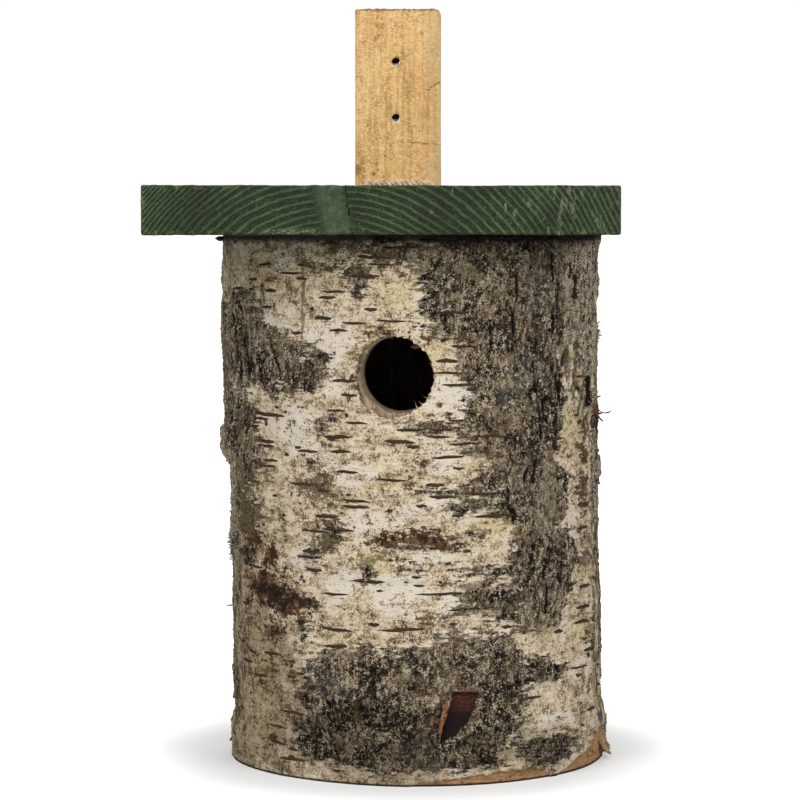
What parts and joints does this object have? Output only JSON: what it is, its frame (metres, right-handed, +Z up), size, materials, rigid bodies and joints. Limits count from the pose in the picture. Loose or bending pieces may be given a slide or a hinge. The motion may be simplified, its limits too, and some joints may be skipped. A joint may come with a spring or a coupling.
{
  "type": "log nest box",
  "caption": "Nest box bored from a short birch log, with a round entrance, a nailed floor disc, a rope-hinged plank roof and a batten for hanging.",
  "frame": {"origin": "middle of the log's foot, on the plane it stands on", "axes": "+Z up along the batten, +Y towards the batten at the back, +X to the right of someone who faces the entrance"},
  "size_m": [0.199, 0.2054, 0.3343],
  "materials": {
    "log_wood": "raw sawn and bored birch, dry",
    "birch_bark": "papery birch bark with dark lenticels, matt",
    "rough_bark": "dark fissured bark, rough",
    "inner_bark": "torn inner bark, fibrous",
    "pine": "sawn pine, lightly weathered",
    "roof_paint": "thin matt green paint over sawn pine, growth rings showing",
    "rope": "twisted natural fibre",
    "fixings": "dull zinc, slightly rusted"
  },
  "bodies": {
    "box": {"log_wall": "log_wood", "bark": "birch_bark", "rough_bark_left": "rough_bark", "rough_bark_right": "rough_bark", "rough_bark_front": "rough_bark", "rough_bark_back": "rough_bark", "bark_tab": "inner_bark", "bark_shred": "inner_bark", "bark_curl": "inner_bark", "bark_flake": "inner_bark", "floor_disc": "log_wood", "floor_nail_left": "fixings", "floor_nail_right": "fixings", "floor_nail_back": "fixings", "batten": "pine", "batten_screw_upper": "fixings", "batten_screw_lower": "fixings", "rope_tail_left": "rope", "rope_tail_right": "rope"},
    "roof": {"roof_board": "roof_paint", "rope_bight": "rope"}
  },
  "joints": [
    {"name": "roof_hinge", "type": "hinge", "parent": "box", "child": "roof", "pos_m": [-0.014, 0.07965, 0.2503], "axis": [-1, 0, 0], "range_deg": [0, 75]}
  ]
}
